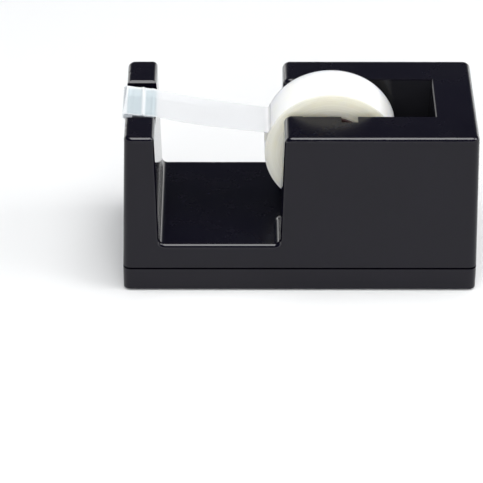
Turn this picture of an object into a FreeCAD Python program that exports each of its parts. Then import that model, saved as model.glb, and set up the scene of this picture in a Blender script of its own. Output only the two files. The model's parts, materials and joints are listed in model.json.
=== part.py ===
"""Weighted desktop tape dispenser.

A drafted shell carries a post with a toothed cutter, an open notch and a block with a scooped well.
The tape roll turns on a hub and a fixed pin, and the pin drops into two slanted slots in the well's walls.

Frame: +X from the cutter to the block, +Y to the back, +Z up. The origin is the middle of the footprint.
Sizes are in millimetres and angles in degrees.
"""

import FreeCAD, Part
import math
import os

import Sketcher
from FreeCAD import Vector

DIMENSIONS = {
    # housing
    "length": 140.0,
    "width": 63.0,
    "height": 70.0,
    "seam": 11.0,
    "draft": 1.5,
    "wall": 2.4,
    "corner_round": 3.0,
    "edge_round": 1.8,
    "shoulder_round": 3.0,
    "inner_round": 0.8,
    # notch between the post and the block
    "notch_left": -56.9,
    "notch_right": -6.6,
    "notch_floor": 21.4,
    "notch_round": 2.5,
    # well that holds the roll
    "well_front": 13.1,
    "well_back": 15.5,
    "well_bevel": 0.45,
    "throat_round": 1.75,
    "throat_inset": 1.3,
    "throat_end": 0.5,
    "well_end_top": 52.4,
    "well_end_low": 51.7,
    "scoop_radius": 35.6,
    # slanted axle slots
    "slot_lean": 19.0,
    "slot_width": 5.1,
    "slot_reach": 17.6,
    "slot_flare": 0.75,
    "slot_mouth": 22.1,
    "slot_seat": 3.02,
    # recess in the post's top, and what lies in it
    "recess_half": 13.2,
    "recess_floor": 65.6,
    "landing_high": 68.6,
    "landing_low": 67.3,
    "blade_tip": -69.7,
    "blade_depth": 3.8,
    "blade_half": 12.3,
    "blade_tongue_half": 9.7,
    "blade_thick": 0.5,
    "tooth_pitch": 1.2,
    "tooth_depth": 0.9,
    "bead_place": -61.9,
    "bead_half": 0.6,
    "bead_rise": 0.3,
    "seat_gap": 0.2,
    "seat_left": -67.9,
    "seat_right": -57.2,
    "seat_screw_place": 6.5,
    "seat_screw_radius": 1.1,
    "seat_screw_head": 2.2,
    # tape
    "tape_width": 19.05,
    "roll_place": 12.1,
    "roll_level": 51.3,
    "roll_radius": 26.2,
    "core_inner": 12.7,
    "core_outer": 14.2,
    "strip_thick": 0.3,
    "strip_lift": 0.4,
    "strip_radius": 330.0,
    "peel_place": -12.75,
    "peel_level": 60.3,
    # hub and axle
    "pin_radius": 3.0,
    "pin_half": 17.3,
    "flat_half": 2.5,
    "flat_start": 12.7,
    "bore_radius": 3.06,
    "sleeve_radius": 4.8,
    "sleeve_end": 11.4,
    "barrel_inner": 10.9,
    "barrel_outer": 12.62,
    "flange_radius": 16.2,
    "flange_inner_face": 9.8,
    "flange_outer_face": 11.0,
    "web_outer": 6.0,
    "web_inner": 4.0,
    "web_hole": 2.3,
    "web_hole_place": 7.85,
    "washer_radius": 5.4,
    "washer_start": 11.45,
    "washer_end": 11.95,
    "clip_radius": 5.0,
    "clip_end": 12.6,
    # base
    "pad_thick": 0.8,
    "pad_inset": 3.0,
    "base_floor": 3.0,
    "groove": 0.8,
    "lap": 1.2,
    "lap_gap": 0.1,
    "lap_height": 1.2,
    # ballast and its fasteners
    "plate_half_length": 56.0,
    "plate_half_width": 19.5,
    "plate_middle": 9.0,
    "plate_top": 15.0,
    "foam_top": 18.8,
    "post_radius": 3.0,
    "post_gap": 0.3,
    "plate_screw_x": 44.0,
    "plate_screw_y": 13.0,
    "plate_screw_radius": 1.45,
    "plate_screw_head": 3.0,
    "plate_screw_head_height": 1.6,
    "plate_screw_tip": 4.5,
    "base_screw_x": 50.0,
    "base_screw_y": 25.2,
    "base_screw_radius": 1.45,
    "base_screw_head": 2.7,
    "base_screw_head_height": 1.8,
    "base_screw_tip": 14.0,
    "boss_radius": 3.5,
    "boss_start": 5.2,
    "screw_gap": 0.25,
}

BLADE_TEETH = 20
WEB_HOLES = 5

doc = FreeCAD.newDocument("tape_dispenser")
dims = doc.addObject("Spreadsheet::Sheet", "dims")


def fill_sheet():
    for row, (name, number) in enumerate(DIMENSIONS.items(), start=1):
        dims.set(f"A{row}", name)
        dims.set(f"B{row}", str(number))
        dims.setAlias(f"B{row}", name)
    doc.recompute()


def size(expression):
    """The number that an expression over the sheet gives now."""
    return float(dims.evalExpression(expression))


def slope_shift(expression, angle="dims.draft"):
    """How far a drafted wall moves over the height in the expression."""
    return f"({expression}) * tan({angle})"


# ---------------------------------------------------------------- sketches and features


def new_body(label):
    body = doc.addObject("PartDesign::Body", label)
    body.Label = label
    return body


def new_sketch(body, name, role="XY_Plane", level=None):
    """A sketch on one of the body's origin planes, moved along the plane's normal to a level."""
    sketch = body.newObject("Sketcher::SketchObject", name)
    plane = next(item for item in body.Origin.OriginFeatures if item.Role == role)
    sketch.AttachmentSupport = [(plane, "")]
    sketch.MapMode = "FlatFace"
    if level is not None:
        sketch.setExpression("AttachmentOffset.Base.z", level)
    return sketch


def bind(sketch, kind, *references, expression):
    """Add a dimensional constraint that follows the sheet."""
    constraint = sketch.addConstraint(Sketcher.Constraint(kind, *references, size(expression)))
    sketch.setExpression(f"Constraints[{constraint}]", expression)


def arc_between(start, end, radius):
    """The shorter arc from start to end, bulging to the right of the way from start to end."""
    chord = end - start
    middle = (start + end) * 0.5
    right = Vector(chord.y, -chord.x, 0).normalize()
    rise = radius - math.sqrt(radius**2 - (chord.Length / 2) ** 2)
    return Part.Arc(start, middle + right * rise, end)


def add_outline(sketch, corners):
    """A closed outline through corners (x, y), each bound to the sheet.

    A corner (x, y, radius) starts an arc that bulges to the right of the way to the next corner, and
    (x, y, radius, "left") one that bulges to the left.
    """
    points = [Vector(size(corner[0]), size(corner[1]), 0) for corner in corners]
    first = sketch.GeometryCount
    for index, corner in enumerate(corners):
        start = points[index]
        end = points[(index + 1) % len(points)]
        if len(corner) == 2:
            sketch.addGeometry(Part.LineSegment(start, end), False)
        elif len(corner) == 3:
            sketch.addGeometry(arc_between(start, end, size(corner[2])), False)
        else:
            sketch.addGeometry(arc_between(end, start, size(corner[2])), False)
    # a left-hand arc is stored from its far end to its near end
    starts = [2 if len(corner) == 4 else 1 for corner in corners]
    for index, corner in enumerate(corners):
        edge = first + index
        following = (index + 1) % len(corners)
        sketch.addConstraint(
            Sketcher.Constraint("Coincident", edge, 3 - starts[index], first + following, starts[following])
        )
        bind(sketch, "DistanceX", -1, 1, edge, starts[index], expression=corner[0])
        bind(sketch, "DistanceY", -1, 1, edge, starts[index], expression=corner[1])
        if len(corner) > 2:
            bind(sketch, "Radius", edge, expression=corner[2])


def add_rectangle(sketch, low_x, high_x, low_y, high_y):
    add_outline(sketch, [(low_x, low_y), (high_x, low_y), (high_x, high_y), (low_x, high_y)])


def add_centred_rectangle(sketch, half_x, half_y):
    add_rectangle(sketch, f"-({half_x})", half_x, f"-({half_y})", half_y)


def add_circle(sketch, centre_x, centre_y, radius):
    circle = sketch.addGeometry(
        Part.Circle(Vector(size(centre_x), size(centre_y), 0), Vector(0, 0, 1), size(radius)), False
    )
    bind(sketch, "DistanceX", -1, 1, circle, 3, expression=centre_x)
    bind(sketch, "DistanceY", -1, 1, circle, 3, expression=centre_y)
    bind(sketch, "Radius", circle, expression=radius)


def extrude(body, kind, name, sketch, length, symmetric=False, upwards=None, taper=None):
    """A pad or a pocket of the sketch. A pocket cuts downwards unless upwards is set."""
    feature = body.newObject(f"PartDesign::{kind}", name)
    feature.Profile = sketch
    feature.setExpression("Length", length)
    if symmetric:
        feature.SideType = "Symmetric"
    if upwards is not None:
        feature.Reversed = upwards
    if taper:
        feature.setExpression("TaperAngle", taper)
    volume_before = body.Shape.Volume if not body.Shape.isNull() else 0.0
    doc.recompute()
    grows = kind == "Pad"
    if (feature.Shape.Volume > volume_before) != grows or not feature.Shape.isValid():
        raise RuntimeError(f"{body.Label}.{name} did not change the body as it should")
    return feature


def pad(body, name, sketch, length, **options):
    return extrude(body, "Pad", name, sketch, length, **options)


def pocket(body, name, sketch, length, **options):
    return extrude(body, "Pocket", name, sketch, length, **options)


def revolve(body, name, sketch):
    """A full turn about the sketch's vertical axis."""
    feature = body.newObject("PartDesign::Revolution", name)
    feature.Profile = sketch
    feature.ReferenceAxis = (sketch, ["V_Axis"])
    feature.Angle = 360
    doc.recompute()
    return feature


def round_edges(body, name, base, radius, wanted):
    """A fillet on the base feature's edges that the test accepts."""
    chosen = [f"Edge{number}" for number, edge in enumerate(base.Shape.Edges, start=1) if wanted(edge)]
    fillet = body.newObject("PartDesign::Fillet", name)
    fillet.Base = (base, chosen)
    fillet.setExpression("Radius", radius)
    doc.recompute()
    return fillet


def is_upright(edge):
    box = edge.BoundBox
    return box.ZLength > 2 and box.ZLength > 10 * max(box.XLength, box.YLength)


def lies_at_level(edge, level):
    box = edge.BoundBox
    return abs(box.ZMin - level) < 0.01 and abs(box.ZMax - level) < 0.01


def is_seam(shape, edge):
    """Whether the two faces that meet at the edge run smoothly into each other."""
    middle = edge.valueAt((edge.FirstParameter + edge.LastParameter) / 2)
    normals = [face.normalAt(*face.Surface.parameter(middle)) for face in shape.ancestorsOfType(edge, Part.Face)]
    return len(normals) == 2 and normals[0].getAngle(normals[1]) < 0.02


# ---------------------------------------------------------------- housing shell

NOTCH_DEPTH = "(dims.height - dims.notch_floor)"
WELL_WIDTH = "(dims.well_front + dims.well_back)"
SCOOP_X = "dims.well_end_low - dims.scoop_radius"
SCOOP_Z = "dims.notch_floor + dims.scoop_radius"
HALL_TOP = "dims.notch_floor - dims.wall"
HALL_LENGTH_HALF = "dims.length / 2 - dims.wall"
HALL_WIDTH_HALF = "dims.width / 2 - dims.wall"
HALL_TOP_SHIFT = slope_shift(f"{HALL_TOP} - dims.seam")
UPPER_LENGTH_HALF = f"{HALL_LENGTH_HALF} - {HALL_TOP_SHIFT}"
UPPER_WIDTH_HALF = f"{HALL_WIDTH_HALF} - {HALL_TOP_SHIFT}"
UPPER_WALL_SHIFT = slope_shift(f"dims.height - ({HALL_TOP})")


def slot_point(along, across):
    """A point in the XZ plane, measured along the slot from the roll's axis and across it."""
    x = f"dims.roll_place + ({along}) * sin(dims.slot_lean) + ({across}) * cos(dims.slot_lean)"
    z = f"dims.roll_level + ({along}) * cos(dims.slot_lean) - ({across}) * sin(dims.slot_lean)"
    return x, z


def shell_outside(body):
    outline = new_sketch(body, "shell_outline", level="dims.seam")
    add_centred_rectangle(outline, "dims.length / 2", "dims.width / 2")
    block = pad(body, "shell_block", outline, "dims.height - dims.seam", taper="-dims.draft")
    return round_edges(body, "shell_corners", block, "dims.corner_round", is_upright)


def cut_notch(body):
    above = "1"
    profile = new_sketch(body, "notch_profile", "XZ_Plane")
    left_foot = "dims.notch_left + " + slope_shift(NOTCH_DEPTH)
    right_foot = "dims.notch_right - " + slope_shift(NOTCH_DEPTH)
    left_top = "dims.notch_left - " + slope_shift(above)
    right_top = "dims.notch_right + " + slope_shift(above)
    add_outline(
        profile,
        [
            (left_foot, "dims.notch_floor"),
            (right_foot, "dims.notch_floor"),
            (right_top, f"dims.height + {above}"),
            (left_top, f"dims.height + {above}"),
        ],
    )
    return pocket(body, "notch", profile, "dims.width + 2", symmetric=True)


def round_shoulder(body, base):
    """Round the block's top edge over the notch, which is fuller than the other edges."""
    top = size("dims.height")
    wall = size("dims.notch_right")

    def is_shoulder(edge):
        return lies_at_level(edge, top) and abs(edge.BoundBox.Center.x - wall) < 0.3

    round_edges(body, "shoulder", base, "dims.shoulder_round", is_shoulder)


def round_notch_floor(body, base):
    """Round the foot of the notch's two walls, and with them the foot of the throat's walls."""
    floor = size("dims.notch_floor")

    def is_wall_foot(edge):
        box = edge.BoundBox
        return lies_at_level(edge, floor) and box.XLength < 0.01 and box.YLength > 5

    return round_edges(body, "notch_floor_rounds", base, "dims.notch_round", is_wall_foot)


def round_outside(body, base):
    """Round the edges of the top outside the well, and the notch's mouths in the front and back faces."""
    top = size("dims.height")
    half_width = size("dims.width") / 2
    post_side = size("dims.notch_left")
    block_side = size("dims.notch_right")
    well_end = size("dims.well_end_top")
    shape = base.Shape

    def wanted(edge):
        box = edge.BoundBox
        if is_seam(shape, edge):
            return False
        if lies_at_level(edge, top):
            in_well = box.XMin > 0 and box.XMax < well_end + 1
            return not in_well
        near_face = min(abs(box.YMin), abs(box.YMax)) > half_width - 2
        in_notch = post_side - 0.1 < box.XMin and box.XMax < block_side + 0.1
        return near_face and in_notch and box.ZMin > size("dims.seam") + 1

    return round_edges(body, "outer_rounds", base, "dims.edge_round", wanted)


def cut_recess(body):
    plan = new_sketch(body, "recess_plan", level="dims.height")
    add_rectangle(plan, "-dims.length / 2", "dims.notch_left + 1", "-dims.recess_half", "dims.recess_half")
    pocket(body, "recess", plan, "dims.height - dims.recess_floor")


def well_pocket(body, name, open_side, width):
    """A pocket with the well's profile, from the open side to the scoop that follows the roll."""
    profile = new_sketch(body, f"{name}_profile", "XZ_Plane", level="(dims.well_front - dims.well_back) / 2")
    above = "dims.height + 1"
    add_outline(
        profile,
        [
            (open_side, "dims.notch_floor"),
            (SCOOP_X, "dims.notch_floor", "dims.scoop_radius"),
            ("dims.well_end_low", SCOOP_Z),
            ("dims.well_end_top", "dims.height"),
            ("dims.well_end_top", above),
            (open_side, above),
        ],
    )
    return pocket(body, name, profile, width, symmetric=True)


def cut_throat(body):
    """The well starts as a narrower throat, whose corners with the notch are rounded in plan."""
    throat = well_pocket(body, "throat", "dims.notch_right - 10", f"{WELL_WIDTH} - 2 * dims.throat_inset")
    wall = size("dims.notch_right")

    def is_throat_corner(edge):
        box = edge.BoundBox
        return box.ZLength > 20 and box.YLength < 0.01 and wall - 2 < box.XMin and box.XMax < wall + 0.1

    return round_edges(body, "throat_corners", throat, "dims.throat_round", is_throat_corner)


def widen_well(body):
    """Past the throat the well flares to its full width, with crisp edges."""
    well_pocket(body, "well", "dims.throat_end", WELL_WIDTH)
    plan = new_sketch(body, "flare_plan", level="dims.height")
    start = "dims.notch_right + dims.shoulder_round + 0.4"
    add_outline(
        plan,
        [
            (start, "-(dims.well_front - dims.throat_inset)"),
            ("dims.throat_end", "-dims.well_front"),
            ("dims.throat_end", "dims.well_back"),
            (start, "dims.well_back - dims.throat_inset"),
        ],
    )
    pocket(body, "flare", plan, NOTCH_DEPTH)


def cut_slots(body):
    half = "dims.slot_width / 2"
    mouth = "(dims.height - dims.roll_level) / cos(dims.slot_lean)"
    seat_left = slot_point("-dims.slot_seat", f"-{half}")
    seat_right = slot_point("-dims.slot_seat", half)
    neck_left = slot_point(f"{mouth} - 2", f"-{half}")
    neck_right = slot_point(f"{mouth} - 6", half)
    top_left = slot_point(f"{mouth} + 1", f"-{half} - dims.slot_flare")
    lip_right = ("dims.slot_mouth", "dims.height - 2.8")
    top_right = ("dims.slot_mouth", "dims.height + 1")
    profile = new_sketch(body, "slot_profile", "XZ_Plane")
    add_outline(profile, [seat_left, seat_right, neck_right, lip_right, top_right, top_left, neck_left])
    return pocket(body, "slots", profile, "2 * dims.slot_reach", symmetric=True)


def bevel_mouth(body, name, bevel, ends, sides):
    """A bevel round a rectangular opening in the top, between two X ends and two Y sides."""
    plan = new_sketch(body, f"{name}_plan", level="dims.height")
    left, right = ends
    front, back = sides
    add_rectangle(plan, left, right, f"{front} - {bevel}", f"{back} + {bevel}")
    pocket(body, name, plan, bevel, taper="-45")


def ease_mouths(body):
    """Bevel the edges of the recess and of the well where they meet the top."""
    recess_ends = ("-dims.length / 2", "dims.notch_left + 3")
    well_ends = ("dims.throat_end", "dims.well_end_top + dims.well_bevel")
    bevel_mouth(body, "recess_mouth", "dims.inner_round", recess_ends, ("-dims.recess_half", "dims.recess_half"))
    bevel_mouth(body, "well_mouth", "dims.well_bevel", well_ends, ("-dims.well_front", "dims.well_back"))


def hollow_shell(body):
    """Leave an even wall: a low hall over the whole base, the post, and a ring round the well."""
    hall = new_sketch(body, "hall_plan", level="dims.seam")
    add_centred_rectangle(hall, HALL_LENGTH_HALF, HALL_WIDTH_HALF)
    pocket(body, "hall", hall, f"{HALL_TOP} - dims.seam", upwards=True)

    post = new_sketch(body, "post_plan", level=HALL_TOP)
    post_right = f"dims.notch_left + {UPPER_WALL_SHIFT} - dims.wall"
    add_rectangle(post, f"-({UPPER_LENGTH_HALF})", post_right, f"-({UPPER_WIDTH_HALF})", UPPER_WIDTH_HALF)
    post_height = f"dims.recess_floor - dims.wall - ({HALL_TOP})"
    pocket(body, "post_hollow", post, post_height, upwards=True, taper="-dims.draft")

    ring = new_sketch(body, "ring_plan", level=HALL_TOP)
    add_outline(ring, ring_corners())
    ring_height = f"dims.height - dims.wall - ({HALL_TOP})"
    pocket(body, "ring_hollow", ring, ring_height, upwards=True, taper="-dims.draft")

    scoop = new_sketch(body, "scoop_profile", "XZ_Plane", level="(dims.well_front - dims.well_back) / 2")
    under_wall = "dims.well_end_low + dims.wall"
    add_outline(
        scoop,
        [
            (SCOOP_X, HALL_TOP, "dims.scoop_radius + dims.wall"),
            (under_wall, SCOOP_Z),
            (f"{under_wall} + 2", SCOOP_Z),
            (f"{under_wall} + 2", f"{HALL_TOP} - 1"),
            (SCOOP_X, f"{HALL_TOP} - 1"),
        ],
    )
    return pocket(body, "scoop_hollow", scoop, f"{WELL_WIDTH} + dims.wall", symmetric=True)


def ring_corners():
    """The plan of the hollow round the well, with a thicker wall behind each axle slot."""
    back = ring_half("dims.well_back")
    front = [(x, f"-({y})") for x, y in reversed(ring_half("dims.well_front"))]
    return back + front


def ring_half(well_side):
    """The ring's corners on one side of the well, from the well's end to the block's outer corner."""
    left = f"dims.notch_right - {UPPER_WALL_SHIFT} + dims.wall"
    inner_y = f"{well_side} + dims.wall * 0.8"
    slot_y = "dims.slot_reach + dims.wall * 0.7"
    slot_left = "dims.roll_place - 6"
    slot_right = "dims.roll_place + 12.5"
    return [
        ("dims.well_end_low + dims.wall * 0.8", inner_y),
        (slot_right, inner_y),
        (slot_right, slot_y),
        (slot_left, slot_y),
        (slot_left, inner_y),
        (left, inner_y),
        (left, UPPER_WIDTH_HALF),
        (UPPER_LENGTH_HALF, UPPER_WIDTH_HALF),
    ]


def screw_positions(across, along):
    return [(f"{sx}dims.{across}", f"{sy}dims.{along}") for sx in ("-", "") for sy in ("-", "")]


def add_shell_bosses(body):
    """Four bosses that the base screws bite into, each bored from below."""
    bosses = new_sketch(body, "boss_plan", level="dims.boss_start")
    for x, y in screw_positions("base_screw_x", "base_screw_y"):
        add_circle(bosses, x, y, "dims.boss_radius")
    pad(body, "bosses", bosses, "dims.notch_floor - dims.wall / 2 - dims.boss_start")
    tall = new_sketch(body, "tall_boss_plan", level="dims.boss_start")
    for y in ("-dims.base_screw_y", "dims.base_screw_y"):
        add_circle(tall, "dims.base_screw_x", y, "dims.boss_radius")
    pad(body, "tall_bosses", tall, "dims.height - dims.wall / 2 - dims.boss_start")
    holes = new_sketch(body, "boss_holes", level="dims.boss_start")
    for x, y in screw_positions("base_screw_x", "base_screw_y"):
        add_circle(holes, x, y, "dims.base_screw_radius + 0.02")
    pocket(body, "boss_bores", holes, "dims.base_screw_tip + 1 - dims.boss_start", upwards=True)


def rebate_shell(body):
    """Thin the shell's lower rim inside, where the base cover's lap stands."""
    rim = new_sketch(body, "rebate_plan", level="dims.seam")
    inset = "dims.wall - dims.lap - dims.lap_gap"
    add_centred_rectangle(rim, f"dims.length / 2 - ({inset})", f"dims.width / 2 - ({inset})")
    pocket(body, "rebate", rim, "dims.lap_height + dims.lap_gap", upwards=True)


def bore_recess_floor(body):
    holes = new_sketch(body, "seat_screw_holes", level="dims.recess_floor + 1")
    for y in ("-dims.seat_screw_place", "dims.seat_screw_place"):
        add_circle(holes, "(dims.seat_left + dims.seat_right) / 2", y, "dims.seat_screw_radius + 0.2")
    pocket(body, "seat_screw_bores", holes, "dims.wall + 2")


def housing_shell():
    body = new_body("housing_shell")
    shell_outside(body)
    notch = cut_notch(body)
    round_shoulder(body, notch)
    throat = cut_throat(body)
    footed = round_notch_floor(body, throat)
    round_outside(body, footed)
    widen_well(body)
    cut_recess(body)
    cut_slots(body)
    ease_mouths(body)
    hollow_shell(body)
    rebate_shell(body)
    add_shell_bosses(body)
    bore_recess_floor(body)
    return body


# ---------------------------------------------------------------- base


def base_cover():
    body = new_body("base_cover")
    rim = "dims.seam - dims.groove"
    outline = new_sketch(body, "cover_outline", level="dims.pad_thick")
    add_centred_rectangle(outline, "dims.length / 2", "dims.width / 2")
    block = pad(body, "cover_block", outline, f"{rim} - dims.pad_thick")
    round_edges(body, "cover_corners", block, "dims.corner_round", is_upright)

    lap = new_sketch(body, "lap_plan", level=rim)
    inset = "dims.wall - dims.lap"
    add_centred_rectangle(lap, f"dims.length / 2 - ({inset})", f"dims.width / 2 - ({inset})")
    lap_pad = pad(body, "lap_block", lap, "dims.groove + dims.lap_height")
    lap_top = size("dims.seam + dims.lap_height")

    def lap_corner(edge):
        return is_upright_short(edge) and abs(edge.BoundBox.ZMax - lap_top) < 0.01

    round_edges(body, "lap_corners", lap_pad, "dims.corner_round - dims.lap", lap_corner)

    inside = new_sketch(body, "tray_plan", level="dims.seam + dims.lap_height")
    add_centred_rectangle(inside, HALL_LENGTH_HALF, HALL_WIDTH_HALF)
    pocket(body, "tray", inside, "dims.seam + dims.lap_height - dims.base_floor")
    add_cover_posts(body)
    bore_cover(body)
    return body


def is_upright_short(edge):
    box = edge.BoundBox
    return box.XLength < 0.01 and box.YLength < 0.01 and box.ZLength > 1


def add_cover_posts(body):
    """Posts that the ballast screws bite into, and pads under the shell's bosses."""
    posts = new_sketch(body, "post_plan", level="dims.base_floor")
    for x, y in screw_positions("plate_screw_x", "plate_screw_y"):
        add_circle(posts, x, y, "dims.post_radius")
    pad(body, "ballast_posts", posts, "dims.plate_middle - 0.1 - dims.base_floor")
    rests = new_sketch(body, "rest_plan", level="dims.base_floor")
    for x, y in screw_positions("base_screw_x", "base_screw_y"):
        add_circle(rests, x, y, "dims.boss_radius")
    pad(body, "boss_rests", rests, "dims.boss_start - 0.1 - dims.base_floor")


def bore_cover(body):
    pilots = new_sketch(body, "pilot_plan", level="dims.plate_middle")
    for x, y in screw_positions("plate_screw_x", "plate_screw_y"):
        add_circle(pilots, x, y, "dims.plate_screw_radius + 0.02")
    pocket(body, "pilots", pilots, "dims.plate_middle - dims.plate_screw_tip + 0.5")
    through = new_sketch(body, "through_plan", level="dims.boss_start")
    for x, y in screw_positions("base_screw_x", "base_screw_y"):
        add_circle(through, x, y, "dims.base_screw_radius + dims.screw_gap")
    pocket(body, "through_holes", through, "dims.boss_start")
    sinks = new_sketch(body, "sink_plan", level="dims.pad_thick")
    for x, y in screw_positions("base_screw_x", "base_screw_y"):
        add_circle(sinks, x, y, "dims.base_screw_head + dims.screw_gap")
    pocket(body, "head_sinks", sinks, "dims.base_screw_head_height + dims.screw_gap", upwards=True)


def non_slip_pad():
    body = new_body("non_slip_pad")
    plan = new_sketch(body, "pad_plan")
    add_centred_rectangle(plan, "dims.length / 2 - dims.pad_inset", "dims.width / 2 - dims.pad_inset")
    sheet = pad(body, "pad_sheet", plan, "dims.pad_thick")
    round_edges(body, "pad_corners", sheet, "dims.corner_round", lambda edge: edge.BoundBox.ZLength > 0.5)
    return body


# ---------------------------------------------------------------- ballast and fasteners


def ballast_slab(label, inset, bottom, top, hole_radius):
    """A flat slab over the base, with a hole at each ballast screw."""
    body = new_body(label)
    plan = new_sketch(body, f"{label}_plan", level=bottom)
    add_centred_rectangle(plan, f"dims.plate_half_length - {inset}", f"dims.plate_half_width - {inset}")
    for x, y in screw_positions("plate_screw_x", "plate_screw_y"):
        add_circle(plan, x, y, hole_radius)
    slab = pad(body, f"{label}_slab", plan, f"({top}) - ({bottom})")
    round_edges(body, f"{label}_corners", slab, "dims.corner_round", is_slab_corner)
    return body


def is_slab_corner(edge):
    past_holes = size("dims.plate_screw_x + dims.post_radius + 1")
    return is_upright_short(edge) and abs(edge.BoundBox.XMin) > past_holes


def screw_group(label, start_x, start_y, span_x, span_y, corners):
    """One turned screw, repeated at the far side of each span."""
    body = new_body(label)
    body.AllowCompound = True
    half_profile = new_sketch(body, f"{label}_profile", "XZ_Plane")
    add_outline(half_profile, corners)
    screw = revolve(body, f"{label}_screw", half_profile)
    pattern = body.newObject("PartDesign::LinearPattern", f"{label}_pattern")
    pattern.Originals = [screw]
    axes = {item.Role: item for item in body.Origin.OriginFeatures}
    pattern.Direction = (axes["Y_Axis"], [""])
    pattern.setExpression("Length", span_y)
    pattern.Occurrences = 2
    if span_x is not None:
        pattern.Direction2 = (axes["X_Axis"], [""])
        pattern.setExpression("Length2", span_x)
        pattern.Occurrences2 = 2
    body.Tip = pattern
    body.setExpression("Placement.Base.x", start_x)
    body.setExpression("Placement.Base.y", start_y)
    return body


def ballast_screws():
    head_top = "dims.plate_top + dims.plate_screw_head_height"
    return screw_group(
        "ballast_screws",
        "-dims.plate_screw_x",
        "-dims.plate_screw_y",
        "2 * dims.plate_screw_x",
        "2 * dims.plate_screw_y",
        [
            ("0", "dims.plate_screw_tip"),
            ("dims.plate_screw_radius", "dims.plate_screw_tip + 1"),
            ("dims.plate_screw_radius", "dims.plate_top"),
            ("dims.plate_screw_head", "dims.plate_top"),
            ("dims.plate_screw_head", f"{head_top} - 0.6"),
            ("dims.plate_screw_head - 0.9", head_top),
            ("0", head_top),
        ],
    )


def base_screws():
    head_bottom = "dims.pad_thick + dims.screw_gap"
    head_top = f"{head_bottom} + dims.base_screw_head_height"
    return screw_group(
        "base_screws",
        "-dims.base_screw_x",
        "-dims.base_screw_y",
        "2 * dims.base_screw_x",
        "2 * dims.base_screw_y",
        [
            ("0", head_bottom),
            ("dims.base_screw_head - 0.5", head_bottom),
            ("dims.base_screw_head", f"{head_bottom} + 0.5"),
            ("dims.base_screw_head", head_top),
            ("dims.base_screw_radius", head_top),
            ("dims.base_screw_radius", "dims.base_screw_tip - 1"),
            ("0", "dims.base_screw_tip"),
        ],
    )


def seat_screws():
    head_top = "dims.recess_floor - dims.wall"
    head_bottom = f"{head_top} - 1.2"
    tip = "dims.landing_low - 0.9"
    return screw_group(
        "seat_screws",
        "(dims.seat_left + dims.seat_right) / 2",
        "-dims.seat_screw_place",
        None,
        "2 * dims.seat_screw_place",
        [
            ("0", head_bottom),
            ("dims.seat_screw_head", head_bottom),
            ("dims.seat_screw_head", head_top),
            ("dims.seat_screw_radius", head_top),
            ("dims.seat_screw_radius", f"{tip} - 0.6"),
            ("0", tip),
        ],
    )


# ---------------------------------------------------------------- cutter


def landing_level(x):
    """The level of the landing's slope at x, from the teeth down to the post's inner edge."""
    fall = "(dims.landing_high - dims.landing_low) / (dims.notch_left - dims.blade_tip)"
    return f"dims.landing_high - ({x} - dims.blade_tip) * {fall}"


def blade_seat():
    """The insert that fills the recess and carries the blade on its slope."""
    body = new_body("blade_seat")
    profile = new_sketch(body, "seat_profile", "XZ_Plane")
    below = "(dims.blade_thick + 0.02)"
    add_outline(
        profile,
        [
            ("dims.seat_left", "dims.recess_floor"),
            ("dims.seat_right", "dims.recess_floor"),
            ("dims.seat_right", f"{landing_level('dims.seat_right')} - {below}"),
            ("dims.seat_left", f"{landing_level('dims.seat_left')} - {below}"),
        ],
    )
    pad(body, "seat_block", profile, "2 * (dims.recess_half - dims.seat_gap)", symmetric=True)
    holes = new_sketch(body, "seat_pilots", level="dims.recess_floor")
    for y in ("-dims.seat_screw_place", "dims.seat_screw_place"):
        add_circle(holes, "(dims.seat_left + dims.seat_right) / 2", y, "dims.seat_screw_radius + 0.02")
    pocket(body, "seat_bores", holes, "dims.landing_low - 0.85 - dims.recess_floor", upwards=True)
    return body


def blade_plan_corners():
    """The blade seen from above: a toothed edge, two ears and a tongue under the tape."""
    back = "dims.seat_right"
    ear = "dims.blade_tip + dims.blade_depth"
    corners = [
        (back, "-dims.blade_tongue_half"),
        (back, "dims.blade_tongue_half"),
        (ear, "dims.blade_tongue_half"),
        (ear, "dims.blade_half"),
        ("dims.blade_tip + dims.tooth_depth", "dims.blade_half"),
    ]
    for tooth in range(BLADE_TEETH):
        gullet = f"({BLADE_TEETH / 2} - {tooth}) * dims.tooth_pitch"
        corners.append(("dims.blade_tip + dims.tooth_depth", gullet))
        corners.append(("dims.blade_tip", f"{gullet} - dims.tooth_pitch / 2"))
    corners.append(("dims.blade_tip + dims.tooth_depth", f"-{BLADE_TEETH / 2} * dims.tooth_pitch"))
    corners.append(("dims.blade_tip + dims.tooth_depth", "-dims.blade_half"))
    corners.append((ear, "-dims.blade_half"))
    corners.append((ear, "-dims.blade_tongue_half"))
    return corners


def blade_side_corners():
    """The blade seen from the front: a thin sloping plate with one raised bead."""
    back = "dims.seat_right + 1"
    front = "dims.blade_tip - 1"
    bead_left = "dims.bead_place - dims.bead_half"
    bead_right = "dims.bead_place + dims.bead_half"
    return [
        (front, f"{landing_level(front)} - dims.blade_thick"),
        (back, f"{landing_level(back)} - dims.blade_thick"),
        (back, landing_level(back)),
        (bead_right, landing_level(bead_right)),
        ("dims.bead_place", f"{landing_level('dims.bead_place')} + dims.bead_rise"),
        (bead_left, landing_level(bead_left)),
        (front, landing_level(front)),
    ]


def cutter_blade():
    """The plate's plan, cut tall, kept only where its side view is solid."""
    plan_body = new_body("blade_plan_block")
    plan = new_sketch(plan_body, "blade_plan", level="dims.recess_floor")
    add_outline(plan, blade_plan_corners())
    pad(plan_body, "blade_tall", plan, "dims.height + 2 - dims.recess_floor")
    side_body = new_body("blade_side_block")
    side = new_sketch(side_body, "blade_side", "XZ_Plane")
    add_outline(side, blade_side_corners())
    pad(side_body, "blade_wide", side, "2 * dims.blade_half + 2", symmetric=True)
    blade = doc.addObject("Part::Common", "cutter_blade")
    blade.Base = plan_body
    blade.Tool = side_body
    blade.Label = "cutter_blade"
    return blade


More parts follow.
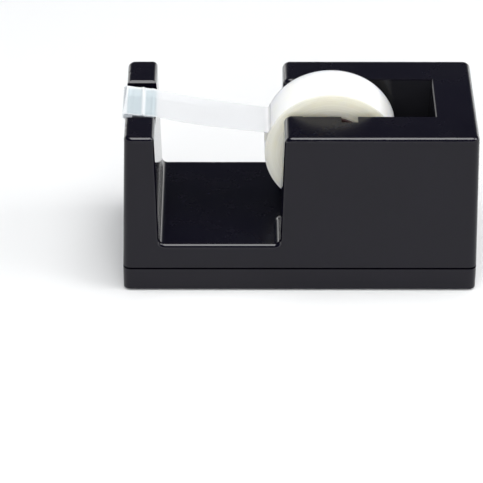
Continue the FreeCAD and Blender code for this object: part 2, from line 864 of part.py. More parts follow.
# ---------------------------------------------------------------- roll, hub and axle


def place_on_roll_axis(body):
    body.setExpression("Placement.Base.x", "dims.roll_place")
    body.setExpression("Placement.Base.z", "dims.roll_level")


def ring(label, inner, outer, spans):
    """A turned ring about the roll's axis for each span (low, high) along it."""
    body = new_body(label)
    body.AllowCompound = True
    profile = new_sketch(body, f"{label}_profile")
    for low, high in spans:
        add_rectangle(profile, inner, outer, low, high)
    revolve(body, f"{label}_ring", profile)
    place_on_roll_axis(body)
    return body


def both_sides(low, high):
    return [(low, high), (f"-({high})", f"-({low})")]


def hub_half(label, side):
    """Half of the hub, with its flange, barrel, web and sleeve. Side is -1 at the front, 1 at the back."""
    body = new_body(label)

    def at(name):
        return f"{side} * dims.{name}"

    profile = new_sketch(body, f"{label}_profile")
    add_outline(
        profile,
        [
            ("dims.bore_radius", "0"),
            ("dims.bore_radius", at("sleeve_end")),
            ("dims.sleeve_radius", at("sleeve_end")),
            ("dims.sleeve_radius", at("web_outer")),
            ("dims.barrel_inner", at("web_outer")),
            ("dims.barrel_inner", at("flange_outer_face")),
            ("dims.flange_radius", at("flange_outer_face")),
            ("dims.flange_radius", at("flange_inner_face")),
            ("dims.barrel_outer", at("flange_inner_face")),
            ("dims.barrel_outer", "0"),
            ("dims.barrel_inner", "0"),
            ("dims.barrel_inner", at("web_inner")),
            ("dims.sleeve_radius", at("web_inner")),
            ("dims.sleeve_radius", "0"),
        ],
    )
    revolve(body, f"{label}_turned", profile)
    hole = new_sketch(body, f"{label}_hole", "XZ_Plane")
    add_circle(hole, "dims.web_hole_place", "0", "dims.web_hole")
    window = pocket(body, f"{label}_window", hole, "2 * dims.flange_outer_face", symmetric=True)
    windows = body.newObject("PartDesign::PolarPattern", f"{label}_windows")
    windows.Originals = [window]
    axis = next(item for item in body.Origin.OriginFeatures if item.Role == "Y_Axis")
    windows.Axis = (axis, [""])
    windows.Angle = 360
    windows.Occurrences = WEB_HOLES
    body.Tip = windows
    place_on_roll_axis(body)
    return body


def axle_pin():
    """A pin with two flats at each end, which stop it turning in the slots."""
    body = new_body("axle_pin")
    profile = new_sketch(body, "pin_profile")
    chamfer = "0.4"
    add_outline(
        profile,
        [
            ("0", "-dims.pin_half"),
            (f"dims.pin_radius - {chamfer}", "-dims.pin_half"),
            ("dims.pin_radius", f"-dims.pin_half + {chamfer}"),
            ("dims.pin_radius", f"dims.pin_half - {chamfer}"),
            (f"dims.pin_radius - {chamfer}", "dims.pin_half"),
            ("0", "dims.pin_half"),
        ],
    )
    revolve(body, "pin_turned", profile)
    flats = new_sketch(body, "flat_plan")
    for low, high in both_sides("dims.flat_start", "dims.pin_half + 1"):
        add_rectangle(flats, "dims.flat_half", "dims.pin_radius + 1", low, high)
        add_rectangle(flats, "-dims.pin_radius - 1", "-dims.flat_half", low, high)
    pocket(body, "flats", flats, "4 * dims.pin_radius", symmetric=True)
    place_on_roll_axis(body)
    body.Placement.Rotation = FreeCAD.Rotation(Vector(0, 1, 0), size("dims.slot_lean"))
    return body


def tape_strip():
    """The tape's free run: flat on the landing, then sagging to the roll's side."""
    body = new_body("tape_strip")
    profile = new_sketch(body, "strip_profile", "XZ_Plane")
    tip_level = "dims.landing_high + dims.strip_lift"
    bend_level = "dims.landing_low + dims.strip_lift"
    add_outline(
        profile,
        [
            ("dims.blade_tip", tip_level),
            ("dims.notch_left", bend_level, "dims.strip_radius"),
            ("dims.peel_place", "dims.peel_level"),
            ("dims.peel_place", "dims.peel_level + dims.strip_thick", "dims.strip_radius", "left"),
            ("dims.notch_left", f"{bend_level} + dims.strip_thick"),
            ("dims.blade_tip", f"{tip_level} + dims.strip_thick"),
        ],
    )
    pad(body, "strip_band", profile, "dims.tape_width", symmetric=True)
    return body


# ---------------------------------------------------------------- assembly and export


def build_parts():
    half_tape = "dims.tape_width / 2"
    post_clear = "dims.post_radius + dims.post_gap"
    screw_clear = "dims.plate_screw_radius + dims.screw_gap"
    head_clear = "dims.plate_screw_head + 1"
    clip_sides = both_sides("dims.washer_end", "dims.clip_end")
    washer_sides = both_sides("dims.washer_start", "dims.washer_end - 0.01")
    return [
        housing_shell(),
        base_cover(),
        non_slip_pad(),
        ballast_slab("ballast_plate_lower", "0", "dims.base_floor", "dims.plate_middle", post_clear),
        ballast_slab("ballast_plate_upper", "0", "dims.plate_middle", "dims.plate_top", screw_clear),
        ballast_slab("ballast_foam", "1", "dims.plate_top", "dims.foam_top", head_clear),
        ballast_screws(),
        base_screws(),
        blade_seat(),
        cutter_blade(),
        seat_screws(),
        axle_pin(),
        ring("axle_clips", "dims.pin_radius + 0.01", "dims.clip_radius", clip_sides),
        ring("drag_washers", "dims.bore_radius", "dims.washer_radius", washer_sides),
        hub_half("hub_front_half", -1),
        hub_half("hub_rear_half", 1),
        ring("tape_core", "dims.core_inner", "dims.core_outer - 0.03", [(f"-{half_tape}", half_tape)]),
        ring("tape_roll", "dims.core_outer", "dims.roll_radius", [(f"-{half_tape}", half_tape)]),
        tape_strip(),
    ]


def check_document():
    for item in doc.Objects:
        if "Invalid" in item.State or "Error" in item.State:
            raise RuntimeError(f"{item.Label} failed: {item.State}")


def export(part):
    shape = part.Shape
    if shape.isNull() or not shape.isValid() or not shape.Solids:
        raise RuntimeError(f"{part.Label} has no valid solid")
    shape.exportStep(f"parts/{part.Label}.step")
    box = shape.optimalBoundingBox(False)
    spans = [(box.XMin, box.XMax), (box.YMin, box.YMax), (box.ZMin, box.ZMax)]
    places = "  ".join(f"{low:7.2f} {high:7.2f}" for low, high in spans)
    print(f"{part.Label:20s} {len(shape.Solids)} solids {shape.Volume:9.1f} mm3  {places}")


def main():
    fill_sheet()
    parts = build_parts()
    doc.recompute()
    check_document()
    os.makedirs("parts", exist_ok=True)
    for part in parts:
        export(part)


main()
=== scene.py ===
"""Looks for the weighted tape dispenser: film, plastics, steel, studio and camera.

Everything is in metres in the row frame: +X from the cutter to the block, +Y to the back, +Z up.
"""

import json
import math
import random

import bmesh
import bpy
from mathutils import Matrix, Vector


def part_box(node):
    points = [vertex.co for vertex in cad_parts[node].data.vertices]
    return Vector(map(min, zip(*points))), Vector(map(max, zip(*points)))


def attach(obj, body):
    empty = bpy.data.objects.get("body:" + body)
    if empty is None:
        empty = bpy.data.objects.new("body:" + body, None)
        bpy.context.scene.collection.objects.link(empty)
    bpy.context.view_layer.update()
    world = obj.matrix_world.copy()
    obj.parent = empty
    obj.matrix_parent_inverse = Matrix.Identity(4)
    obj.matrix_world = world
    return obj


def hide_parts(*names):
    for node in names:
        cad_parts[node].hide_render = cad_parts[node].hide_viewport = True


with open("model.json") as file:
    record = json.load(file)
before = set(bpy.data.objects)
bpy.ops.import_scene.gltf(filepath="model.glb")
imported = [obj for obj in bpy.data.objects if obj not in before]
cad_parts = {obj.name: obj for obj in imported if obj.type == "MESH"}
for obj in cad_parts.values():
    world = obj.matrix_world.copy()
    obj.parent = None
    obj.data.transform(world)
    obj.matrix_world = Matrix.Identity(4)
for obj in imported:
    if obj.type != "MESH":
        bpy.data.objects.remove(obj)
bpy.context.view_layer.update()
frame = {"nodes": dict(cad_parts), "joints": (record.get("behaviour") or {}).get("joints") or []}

MM = 0.001
nodes = frame["nodes"]
spin = next(joint for joint in frame["joints"] if joint["name"] == "roll_spin")
roll_centre = Vector(spin["pos_m"])
box = {name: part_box(name) for name in nodes}
blade_tip = box["cutter_blade"][0].x
roll_rim = box["tape_roll"][0].x
shell_top = box["housing_shell"][1].z
pin_end = box["axle_pin"][1].y


# ---------------------------------------------------------------- materials

# Where one finish, or a painted light, highlight or reflection, gives way to another, each as a start
# and an end.
# The well's spans bound the painted light on its walls; the film's spans bound its painted highlights,
# painted reflection and painted light.
WELL_SIDES = (pin_end, pin_end + 1 * MM)  # from the middle plane
WELL_THROAT = (-4 * MM, 1 * MM)  # along X
WELL_END = (60 * MM, 62 * MM)  # along X
SHELL_RIM = (shell_top - 1.2 * MM, shell_top - 0.4 * MM)  # along Z
ROLL_FACE = (9.0 * MM, 9.35 * MM)  # from the middle plane
FILM_EDGE = (8.2 * MM, 9.1 * MM)  # from the middle plane
FILM_ON_POST = (blade_tip, blade_tip + 14 * MM)  # along X
FILM_AT_ROLL = (roll_rim - 0.5 * MM, roll_rim + 1.2 * MM)  # along X

BLACK = ((0.0018, 0.0012, 0.0048), (0.0025, 0.0018, 0.006))  # the darkest and the lightest part
BLACK_IOR = 1.345
EDGE_COAT = 0.74


def set_stops(ramp, stops):
    """Give a colour ramp its stops (place, colour)."""
    elements = ramp.color_ramp.elements
    while len(elements) < len(stops):
        elements.new(0.5)
    for element, (place, colour) in zip(elements, stops):
        element.position = place
        element.color = (*colour, 1)


class Shading:
    """A material with one Principled shader, and short calls for the nodes that feed it."""

    def __init__(self, name):
        self.material = bpy.data.materials.new(name)
        self.material.use_nodes = True
        self.tree = self.material.node_tree
        self.shader = self.tree.nodes["Principled BSDF"]

    def add(self, kind, **values):
        node = self.tree.nodes.new(kind)
        for name, value in values.items():
            setattr(node, name, value)
        return node

    def link(self, source, target):
        self.tree.links.new(source, target)

    def set(self, **values):
        """Constant shader inputs, named in lower case with underscores."""
        for name, value in values.items():
            title = name.replace("_", " ").title().replace("Ior", "IOR")
            self.shader.inputs[title].default_value = value

    def position(self, stretch=(1, 1, 1)):
        """The point on the piece, stretched along each axis."""
        place = self.add("ShaderNodeTexCoord")
        mapping = self.add("ShaderNodeMapping")
        mapping.inputs["Scale"].default_value = stretch
        self.link(place.outputs["Object"], mapping.inputs["Vector"])
        return mapping.outputs["Vector"]

    def part_of_position(self, axis):
        """One coordinate of the point on the piece."""
        split = self.add("ShaderNodeSeparateXYZ")
        self.link(self.position(), split.inputs["Vector"])
        return split.outputs[axis]

    def facing_up(self):
        """The upward part of the surface's normal."""
        place = self.add("ShaderNodeTexCoord")
        split = self.add("ShaderNodeSeparateXYZ")
        self.link(place.outputs["Normal"], split.inputs["Vector"])
        return split.outputs["Z"]

    def product(self, *factors):
        """The factors multiplied together."""
        result = factors[0]
        for factor in factors[1:]:
            times = self.add("ShaderNodeMath", operation="MULTIPLY")
            self.link(result, times.inputs[0])
            self.link(factor, times.inputs[1])
            result = times.outputs[0]
        return result

    def distance_from_middle(self):
        """The distance from the plane halfway between front and back."""
        across = self.add("ShaderNodeMath", operation="ABSOLUTE")
        self.link(self.part_of_position("Y"), across.inputs[0])
        return across.outputs[0]

    def radius_about_roll(self):
        """The distance from the roll's axis."""
        offset = self.add("ShaderNodeVectorMath", operation="SUBTRACT")
        offset.inputs[1].default_value = roll_centre
        self.link(self.position(), offset.inputs[0])
        flat = self.add("ShaderNodeVectorMath", operation="MULTIPLY")
        flat.inputs[1].default_value = (1, 0, 1)
        self.link(offset.outputs["Vector"], flat.inputs[0])
        length = self.add("ShaderNodeVectorMath", operation="LENGTH")
        self.link(flat.outputs["Vector"], length.inputs[0])
        return length.outputs["Value"]

    def round_the_well(self):
        """One on the well's walls and the edges of its mouth, and nothing elsewhere."""
        return self.product(
            self.span(self.distance_from_middle(), 1, 0, *WELL_SIDES),
            self.span(self.part_of_position("X"), 0, 1, *WELL_THROAT),
            self.span(self.part_of_position("X"), 1, 0, *WELL_END),
        )

    def below_top(self):
        """Nothing on the shell's top, and one a little below it."""
        return self.span(self.part_of_position("Z"), 1, 0, *SHELL_RIM)

    def noise(self, scale, detail=2.0, roughness=0.5, stretch=(1, 1, 1)):
        noise = self.add("ShaderNodeTexNoise")
        noise.inputs["Scale"].default_value = scale
        noise.inputs["Detail"].default_value = detail
        noise.inputs["Roughness"].default_value = roughness
        self.link(self.position(stretch), noise.inputs["Vector"])
        return noise.outputs["Fac"]

    def line_noise(self, value, scale, detail=2.0):
        """Noise along one value."""
        noise = self.add("ShaderNodeTexNoise", noise_dimensions="1D")
        noise.inputs["Scale"].default_value = scale
        noise.inputs["Detail"].default_value = detail
        self.link(value, noise.inputs["W"])
        return noise.outputs["Fac"]

    def ramp(self, value, stops):
        """Colours over a value, from stops (place, colour)."""
        ramp = self.add("ShaderNodeValToRGB")
        set_stops(ramp, stops)
        self.link(value, ramp.inputs["Fac"])
        return ramp.outputs["Color"]

    def span(self, value, low, high, from_low=0.3, from_high=0.7):
        """A value moved from one span to another."""
        change = self.add("ShaderNodeMapRange")
        change.inputs["From Min"].default_value = from_low
        change.inputs["From Max"].default_value = from_high
        change.inputs["To Min"].default_value = low
        change.inputs["To Max"].default_value = high
        self.link(value, change.inputs["Value"])
        return change.outputs["Result"]

    def mix_colours(self, factor, first, second):
        """The first colour where the factor is nothing, and the second where it is one.

        The node's colour sockets are inputs 6 and 7 and output 2.
        """
        mix = self.add("ShaderNodeMix", data_type="RGBA")
        self.link(factor, mix.inputs[0])
        self.link(first, mix.inputs[6])
        self.link(second, mix.inputs[7])
        return mix.outputs[2]

    def bump(self, height, distance, below=None):
        bump = self.add("ShaderNodeBump")
        bump.inputs["Distance"].default_value = distance
        self.link(height, bump.inputs["Height"])
        if below is not None:
            self.link(below, bump.inputs["Normal"])
        self.link(bump.outputs["Normal"], self.shader.inputs["Normal"])
        return bump.outputs["Normal"]

    def colour(self, socket):
        self.link(socket, self.shader.inputs["Base Color"])

    def roughness(self, socket):
        self.link(socket, self.shader.inputs["Roughness"])


def moulded_plastic(name, dark, light, gloss, grain, ior=1.46):
    """Polished plastic with faint flow marks, handling haze and a fine orange peel."""
    m = Shading(name)
    m.set(ior=ior)
    m.colour(m.ramp(m.noise(35, 4), [(0.35, dark), (0.7, light)]))
    m.roughness(m.span(m.noise(60, 5, 0.62), gloss, gloss * 1.7))
    waves = m.bump(m.noise(140, 2), grain)
    m.bump(m.noise(2600, 2), grain * 0.04, below=waves)
    return m.material


def shell_plastic():
    """The shell's plastic: satin on top, glossy on its walls, polished most along its rounded edges.

    The well's walls and the edges of its mouth are painted a little paler, as painted light.
    """
    m = Shading("shell_plastic")
    m.set(ior=BLACK_IOR)
    dark, light = BLACK
    outside = m.ramp(m.noise(35, 4), [(0.35, dark), (0.7, light)])
    # painted light: a paler colour on the well's walls, standing in for light that reaches into the well
    painted_well_light = m.ramp(m.noise(60, 3), [(0.35, (0.0135, 0.0135, 0.0165)), (0.7, (0.0165, 0.0165, 0.02))])
    well = m.round_the_well()
    m.colour(m.mix_colours(m.product(well, m.below_top()), outside, painted_well_light))
    haze = m.span(m.noise(60, 5, 0.62), 0.92, 1.12)
    m.roughness(m.product(haze, m.span(m.facing_up(), 0.09, 0.26, 0.8, 0.99)))
    coat = (EDGE_COAT, EDGE_COAT, EDGE_COAT)
    bare = (0, 0, 0)
    edges = m.ramp(m.facing_up(), [(0.25, bare), (0.45, coat), (0.92, coat), (0.985, bare)])
    outside_well = m.span(well, 1, 0, 0, 1)
    m.link(m.product(edges, outside_well), m.shader.inputs["Coat Weight"])
    waves = m.bump(m.noise(140, 2), 0.02 * MM)
    m.bump(m.noise(2600, 2), 0.001 * MM, below=waves)
    return m.material


def rubber_sheet(name, dark, light):
    """Closed-cell foam rubber: matt, with small pits."""
    m = Shading(name)
    m.set(ior=1.4)
    m.colour(m.ramp(m.noise(900, 4), [(0.3, dark), (0.7, light)]))
    m.roughness(m.span(m.noise(300, 3), 0.75, 0.95))
    m.bump(m.noise(2200, 4, 0.7), 0.08 * MM)
    return m.material


def steel(name, colour, rough, brush, stretch):
    """Steel with brush lines: the noise is stretched along the way it was brushed."""
    m = Shading(name)
    m.set(metallic=1.0)
    lines = m.noise(brush, 5, 0.65, stretch)
    bright = tuple(min(1.0, part * 1.12) for part in colour)
    m.colour(m.ramp(lines, [(0.3, colour), (0.7, bright)]))
    m.roughness(m.span(lines, rough * 0.8, rough * 1.35))
    m.bump(lines, 0.006 * MM)
    return m.material


def wound_film(name):
    """The roll's film: milky white outside, cream with faint rings where its cut edges show."""
    m = Shading(name)
    m.set(ior=1.47, subsurface_weight=1.0, subsurface_scale=7 * MM, subsurface_radius=(1, 0.95, 0.8))
    on_face = m.span(m.distance_from_middle(), 0, 1, *ROLL_FACE)
    rings = m.line_noise(m.radius_about_roll(), 900, 4)
    cream = m.ramp(rings, [(0.3, (0.775, 0.76, 0.66)), (0.7, (0.855, 0.84, 0.75))])
    white = m.ramp(m.noise(70, 2), [(0.3, (0.88, 0.88, 0.85)), (0.7, (0.91, 0.91, 0.89))])
    m.colour(m.mix_colours(on_face, white, cream))
    m.roughness(m.span(m.noise(400, 3), 0.4, 0.55))
    m.bump(m.noise(1500, 3), 0.01 * MM)
    return m.material


def frosted_film(name):
    """One thickness of frosted film.

    Over the blade it is painted bluish, as painted reflection of the lit steel under it, and painted
    white at its edges, its cut end and its fold, as painted highlights over the real curls and folds of
    its shape.
    Near the roll it is painted nearly white, as painted light over the shade of its bend.
    """
    m = Shading(name)
    m.set(ior=1.45, alpha=0.55)
    clear = (0.76, 0.77, 0.78)
    # painted reflection: the film is painted this blue over the blade, standing in for the lit steel
    # seen through it
    blue = (0.69, 0.77, 0.8)
    # painted highlight: the film is painted this white at its edges, cut end and fold over the blade
    white = (0.94, 0.96, 0.97)
    along = m.span(m.part_of_position("X"), 0, 1, *FILM_ON_POST)
    painted_cut_end_highlight = [(0.1, white), (0.15, blue)]
    painted_fold_highlight = [(0.5, blue), (0.54, white), (0.6, white), (0.65, blue)]
    off_the_post = [(0.88, blue), (1, clear)]
    middle_with_painted_light = m.ramp(along, painted_cut_end_highlight + painted_fold_highlight + off_the_post)
    # painted highlight along both edges of the film over the blade, fading to the clear colour off it
    edges = m.ramp(along, [(0.85, white), (1, clear)])
    near_edge = m.span(m.distance_from_middle(), 0, 1, *FILM_EDGE)
    film = m.mix_colours(near_edge, middle_with_painted_light, edges)
    # painted light: nearly white where the film bends onto the roll, lifting the shade of that crease
    near_roll = m.span(m.part_of_position("X"), 0, 1, *FILM_AT_ROLL)
    painted_light_by_roll = m.ramp(near_roll, [(0, clear), (1, (0.98, 0.98, 0.98))])
    m.colour(m.mix_colours(near_roll, film, painted_light_by_roll))
    m.roughness(m.span(m.noise(600, 3), 0.3, 0.45))
    m.bump(m.noise(900, 3), 0.012 * MM)
    return m.material


def dress(name, material):
    """Give a CAD node its material."""
    mesh = nodes[name].data
    mesh.materials.clear()
    mesh.materials.append(material)


def dress_cad_nodes():
    cover = moulded_plastic("cover_plastic", *BLACK, 0.16, 0.02 * MM, BLACK_IOR)
    seat = moulded_plastic("seat_plastic", (0.012, 0.012, 0.014), (0.02, 0.02, 0.022), 0.3, 0.03 * MM)
    hub = moulded_plastic("hub_plastic", (0.022, 0.008, 0.01), (0.035, 0.012, 0.014), 0.35, 0.02 * MM)
    core = moulded_plastic("core_plastic", (0.62, 0.61, 0.56), (0.7, 0.69, 0.64), 0.35, 0.02 * MM)
    clip = moulded_plastic("clip_plastic", (0.015, 0.015, 0.015), (0.03, 0.03, 0.03), 0.35, 0.02 * MM)
    pad = rubber_sheet("pad_rubber", (0.012, 0.012, 0.012), (0.03, 0.03, 0.03))
    foam = rubber_sheet("ballast_foam_rubber", (0.05, 0.05, 0.055), (0.1, 0.1, 0.11))
    washer = rubber_sheet("washer_fibre", (0.03, 0.02, 0.015), (0.06, 0.045, 0.03))
    blade = steel("blade_steel", (0.78, 0.8, 0.82), 0.45, 260, (1, 14, 1))
    plate = steel("plate_steel", (0.42, 0.42, 0.43), 0.42, 160, (12, 1, 1))
    fastener = steel("fastener_steel", (0.6, 0.6, 0.58), 0.3, 900, (1, 1, 1))
    finishes = {
        "housing_shell": shell_plastic(),
        "base_cover": cover,
        "non_slip_pad": pad,
        "ballast_plate_lower": plate,
        "ballast_plate_upper": plate,
        "ballast_foam": foam,
        "ballast_screws": fastener,
        "base_screws": fastener,
        "seat_screws": fastener,
        "blade_seat": seat,
        "cutter_blade": blade,
        "axle_pin": fastener,
        "axle_clips": clip,
        "drag_washers": washer,
        "hub_front_half": hub,
        "hub_rear_half": hub,
        "tape_core": core,
    }
    for name, material in finishes.items():
        dress(name, material)


# ---------------------------------------------------------------- tape


def new_piece(name, mesh_builder, material, body, node):
    """A mesh piece that rides on a body and stands for a CAD node, which it hides."""
    mesh = bpy.data.meshes.new(name)
    shape = bmesh.new()
    mesh_builder(shape)
    bmesh.ops.recalc_face_normals(shape, faces=shape.faces)
    shape.to_mesh(mesh)
    shape.free()
    piece = bpy.data.objects.new(name, mesh)
    bpy.context.scene.collection.objects.link(piece)
    mesh.materials.append(material)
    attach(piece, body)
    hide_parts(node)
    return piece


def smooth_below(piece, angle):
    """Smooth shading across edges that bend less than the angle, in degrees."""
    piece.data.polygons.foreach_set("use_smooth", [True] * len(piece.data.polygons))
    piece.data.set_sharp_from_angle(angle=math.radians(angle))


WRAPS = 64  # visible steps on the roll's faces, each a few turns of film
ROLL_SEGMENTS = 192
FILM = 0.06 * MM
WRAP_STRAY = 0.09 * MM  # how far a wrap may stand in from the widest one
CORE_GAP = 0.03 * MM


def roll_profile():
    """Points (radius, y) round the roll's section, with each group of wraps a little offset."""
    low, high = box["tape_roll"]
    outer = (high.x - low.x) / 2 - FILM
    inner = (box["tape_core"][1].x - box["tape_core"][0].x) / 2 + CORE_GAP
    draw = random.Random(4)
    step = (outer - inner) / WRAPS
    ends = []
    for side in (low.y, high.y):
        points = []
        drift = 0.0
        for wrap in range(WRAPS):
            drift = 0.8 * drift + 0.2 * draw.random()
            inset = WRAP_STRAY * (0.6 * drift + 0.4 * draw.random() ** 3)
            y = side - math.copysign(inset, side)
            points.append((inner + wrap * step, y))
            points.append((inner + (wrap + 1) * step, y))
        ends.append(points)
    front, back = ends
    return front + back[::-1]


def build_roll(shape):
    profile = roll_profile()
    rings = []
    for radius, y in profile:
        ring = []
        for segment in range(ROLL_SEGMENTS):
            angle = math.tau * segment / ROLL_SEGMENTS
            x = roll_centre.x + radius * math.cos(angle)
            z = roll_centre.z + radius * math.sin(angle)
            ring.append(shape.verts.new((x, y, z)))
        rings.append(ring)
    for near, far in zip(rings, rings[1:] + rings[:1]):
        for segment in range(ROLL_SEGMENTS):
            following = (segment + 1) % ROLL_SEGMENTS
            shape.faces.new((near[segment], near[following], far[following], far[segment]))


def add_roll():
    piece = new_piece("wound_tape", build_roll, wound_film("wound_film"), "spool", "tape_roll")
    smooth_below(piece, 30)


# The free run: the film lies on the blade, drops over the post's edge and meets the roll.
BLADE_THICK = 0.5 * MM
FILM_GAP = 0.08 * MM  # from the blade's face to the middle of the film
SEAT_GAP = 0.35 * MM  # from the seat's inner end to where the film leaves the blade
RUN_STEP = 0.35 * MM
TEETH = 16
SIDE_STEPS = 4 * TEETH  # grid steps across the strip
CUT_ROWS = 8
CUT_DEPTH = 0.45 * MM
CUT_SLANT = 1.0 * MM  # how much shorter the film is at the back of its cut end
DROP_SLOPE = -0.27
ROLL_SLOPE = -0.12
PEEL_BEND = 0.7 * MM
BEND_STEPS = 8
TAIL_START = math.radians(155)  # the angle about the roll's axis where the free film's layer begins
TAIL_STEPS = 12
TAIL_LOSS = 0.8  # the share of its thickness that the tail loses by its end
CURL_START = 0.45  # as a share of the half width
CURL_RISE = 1.5 * MM
LIP_START = 0.9  # as a share of the half width
LIP_RISE = 0.22 * MM
# Folds across the film, each as millimetres from the blade's tip, high and wide.
FOLDS = [(1.9, 0.12, 0.5), (4.2, 0.06, 0.3), (7.8, 0.34, 0.6), (9.6, 0.06, 0.3), (11.6, 0.2, 0.45)]


def landing_level(x):
    """The blade's upper face in the middle of the film."""
    low, high = box["cutter_blade"]
    slope = (high.z - low.z - BLADE_THICK) / (high.x - low.x)
    return high.z - slope * (x - low.x)


def ridge_rise(x):
    """How far the film stands off the blade in folds across it, over its bead and near its ends."""
    rise = 0.0
    for place, height, reach in FOLDS:
        rise += height * MM * math.exp(-(((x - blade_tip) / MM - place) / reach) ** 2)
    return rise


def level_over_blade(x):
    return landing_level(x) + FILM_GAP + ridge_rise(x)


def stretch_over_blade(edge):
    """The film's line from its cut end to where it leaves the blade."""
    length = edge - blade_tip
    steps = round(length / RUN_STEP)
    line = []
    for step in range(steps):
        x = blade_tip + length * step / steps
        line.append((x, level_over_blade(x)))
    return line


def stretch_in_the_air(edge, end):
    """The film's line from the blade to its bend at the roll, with a set slope at each end."""
    edge_z = level_over_blade(edge)
    run = end[0] - edge
    steps = round(run / RUN_STEP / 2)
    line = []
    for step in range(steps):
        u = step / steps
        z = (2 * u**3 - 3 * u**2 + 1) * edge_z + (u**3 - 2 * u**2 + u) * run * DROP_SLOPE
        z += (3 * u**2 - 2 * u**3) * end[1] + (u**3 - u**2) * run * ROLL_SLOPE
        line.append((edge + run * u, z))
    return line


def arc(centre_x, centre_z, radius, first, last, steps):
    """Points (x, z) on an arc, with both its ends."""
    points = []
    for step in range(steps + 1):
        angle = first + (last - first) * step / steps
        points.append((centre_x + radius * math.cos(angle), centre_z + radius * math.sin(angle)))
    return points


def film_line():
    """The film's middle line (x, z), from its cut end to the tail on the roll."""
    radius = (box["tape_roll"][1].x - box["tape_roll"][0].x) / 2 - 0.6 * FILM
    bend_low = box["tape_strip"][0].z + FILM / 2
    bend_height = bend_low + PEEL_BEND - roll_centre.z
    peel = math.pi - math.asin(bend_height / (radius + PEEL_BEND))
    bend_x = roll_centre.x + (radius + PEEL_BEND) * math.cos(peel)
    bend_z = roll_centre.z + bend_height
    rise = math.atan(-ROLL_SLOPE)
    bend_start = (bend_x - PEEL_BEND * math.sin(rise), bend_z - PEEL_BEND * math.cos(rise))
    edge = box["blade_seat"][1].x + SEAT_GAP

    line = stretch_over_blade(edge)
    line += stretch_in_the_air(edge, bend_start)
    line += arc(bend_x, bend_z, PEEL_BEND, 1.5 * math.pi - rise, math.pi + peel, BEND_STEPS)
    line += arc(roll_centre.x, roll_centre.z, radius, peel, TAIL_START, TAIL_STEPS)[1:]
    return line


def curl(x, side):
    """How far the strip's edges stand up at x. The side goes from -1 at the front to 1 at the back."""
    fade = max(0.0, 1 - (x - blade_tip) / (box["tape_strip"][1].x - blade_tip))
    share = max(0.0, (side - CURL_START) / (1 - CURL_START))
    lip = max(0.0, (-side - LIP_START) / (1 - LIP_START))
    return CURL_RISE * fade**0.8 * share**1.5 + LIP_RISE * lip**1.5 * fade


def cut_back(index, step, side):
    """How far the film's toothed cut end stands back from the blade's tip, less in each row after it."""
    tooth = abs((step / SIDE_STEPS * TEETH) % 1 - 0.5) * 2
    cut = CUT_SLANT * (side + 1) / 2 + CUT_DEPTH * tooth
    return cut * max(0.0, 1 - index / CUT_ROWS)


def strip_section(shape, line, index):
    """The film's upper and lower rows of points across one place on its line, front to back."""
    x, z = line[index]
    before = line[max(index - 1, 0)]
    after = line[min(index + 1, len(line) - 1)]
    along = Vector((after[0] - before[0], 0, after[1] - before[1])).normalized()
    normal = Vector((-along.z, 0, along.x))
    into_tail = max(0, index - (len(line) - TAIL_STEPS))
    half_thick = FILM / 2 * (1 - TAIL_LOSS * into_tail / TAIL_STEPS)
    upper = []
    lower = []
    for step in range(SIDE_STEPS + 1):
        side = 2 * step / SIDE_STEPS - 1
        place = Vector((x, box["tape_strip"][1].y * side, z))
        place.z += curl(x, side)
        place.x += cut_back(index, step, side)
        upper.append(shape.verts.new(place + normal * half_thick))
        lower.append(shape.verts.new(place - normal * half_thick))
    return upper, lower


def build_strip(shape):
    line = film_line()
    sections = [strip_section(shape, line, index) for index in range(len(line))]
    rings = [upper + lower[::-1] for upper, lower in sections]
    for near, far in zip(rings, rings[1:]):
        for index in range(len(near)):
            following = (index + 1) % len(near)
            shape.faces.new((near[index], near[following], far[following], far[index]))
    for upper, lower in (sections[0], sections[-1]):
        for a, b, c, d in zip(upper, upper[1:], lower[1:], lower):
            shape.faces.new((a, b, c, d))


def add_strip():
    piece = new_piece("tape_run", build_strip, frosted_film("frosted_film"), "axle", "tape_strip")
    smooth_below(piece, 50)


# ---------------------------------------------------------------- studio

FLOOR_REACH = 4.0

CAMERA_PLACE = (-0.02594, -0.89784, 0.61388)
CAMERA_PITCH = math.radians(34.27)  # down from level
CAMERA_YAW = math.radians(-0.186)
CAMERA_ROLL = math.radians(0.143)
SENSOR_WIDTH = 36.0
LENS = 198.84


def add_floor():
    mesh = bpy.data.meshes.new("studio_floor")
    shape = bmesh.new()
    signs = ((-1, -1), (1, -1), (1, 1), (-1, 1))
    corners = [shape.verts.new((x * FLOOR_REACH, y * FLOOR_REACH, 0)) for x, y in signs]
    shape.faces.new(corners)
    shape.to_mesh(mesh)
    shape.free()
    floor = bpy.data.objects.new("studio_floor", mesh)
    bpy.context.scene.collection.objects.link(floor)
    m = Shading("floor_paper")
    m.set(base_color=(0.9, 0.905, 0.9, 1), roughness=0.85)
    mesh.materials.append(m.material)


def add_softbox(name, place, aim, size, radiance, in_reflections=True):
    """A rectangular area light of a given radiance, facing a point."""
    data = bpy.data.lights.new(name, "AREA")
    data.shape = "RECTANGLE"
    data.size, data.size_y = size
    data.energy = radiance * size[0] * size[1] * math.pi
    light = bpy.data.objects.new(name, data)
    light.visible_glossy = in_reflections
    light.location = place
    light.rotation_euler = (Vector(aim) - Vector(place)).to_track_quat("-Z", "Y").to_euler()
    bpy.context.scene.collection.objects.link(light)


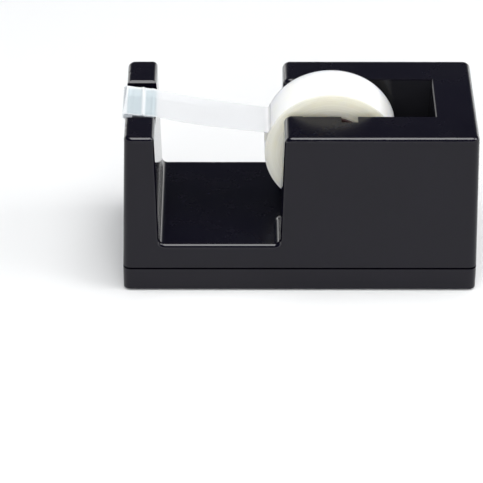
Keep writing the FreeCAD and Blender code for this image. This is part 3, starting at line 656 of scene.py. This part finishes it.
def add_lights():
    """Boxes overhead and to the right, and a fill from the front that stays out of reflections."""
    add_softbox("overhead", place=(0.05, -0.1, 1.1), aim=(0, 0, 0), size=(0.8, 0.8), radiance=4.6)
    add_softbox("key", place=(0.95, -0.15, 0.95), aim=(0, 0, 0.03), size=(0.7, 0.7), radiance=3.6)
    add_softbox(
        "fill",
        place=(-0.1, -1.3, 0.75),
        aim=(0, 0, 0.04),
        size=(1.2, 0.8),
        radiance=3.2,
        in_reflections=False,
    )


def add_world():
    """A pale glow at the horizon that falls away above it, as in a studio with a lit sweep."""
    world = bpy.data.worlds.new("studio")
    bpy.context.scene.world = world
    world.use_nodes = True
    tree = world.node_tree
    background = tree.nodes["Background"]
    place = tree.nodes.new("ShaderNodeTexCoord")
    split = tree.nodes.new("ShaderNodeSeparateXYZ")
    ramp = tree.nodes.new("ShaderNodeValToRGB")
    tree.links.new(place.outputs["Generated"], split.inputs["Vector"])
    tree.links.new(split.outputs["Z"], ramp.inputs["Fac"])
    pale = (1.0, 1.0, 0.99)
    blue = (0.8, 0.95, 1.4)
    glow = [
        (0.0, 3.0, pale),
        (0.1, 1.1, pale),
        (0.2, 0.9, pale),
        (0.36, 0.05, blue),
        (0.75, 0.07, blue),
        (1.0, 0.5, pale),
    ]
    set_stops(ramp, [(height, [level * part for part in tint]) for height, level, tint in glow])
    tree.links.new(ramp.outputs["Color"], background.inputs["Color"])
    background.inputs["Strength"].default_value = 1.0


def add_camera():
    """A long lens, from the front and above."""
    data = bpy.data.cameras.new("camera")
    data.sensor_width = SENSOR_WIDTH
    data.lens = LENS
    data.clip_start = 0.05
    data.clip_end = 50
    camera = bpy.data.objects.new("camera", data)
    bpy.context.scene.collection.objects.link(camera)
    camera.matrix_world = (
        Matrix.Translation(CAMERA_PLACE)
        @ Matrix.Rotation(CAMERA_YAW, 4, "Z")
        @ Matrix.Rotation(math.pi / 2 - CAMERA_PITCH, 4, "X")
        @ Matrix.Rotation(CAMERA_ROLL, 4, "Z")
    )
    bpy.context.scene.camera = camera


def main():
    bpy.context.scene.view_settings.view_transform = "Standard"
    dress_cad_nodes()
    add_roll()
    add_strip()
    add_floor()
    add_lights()
    add_world()
    add_camera()


main()
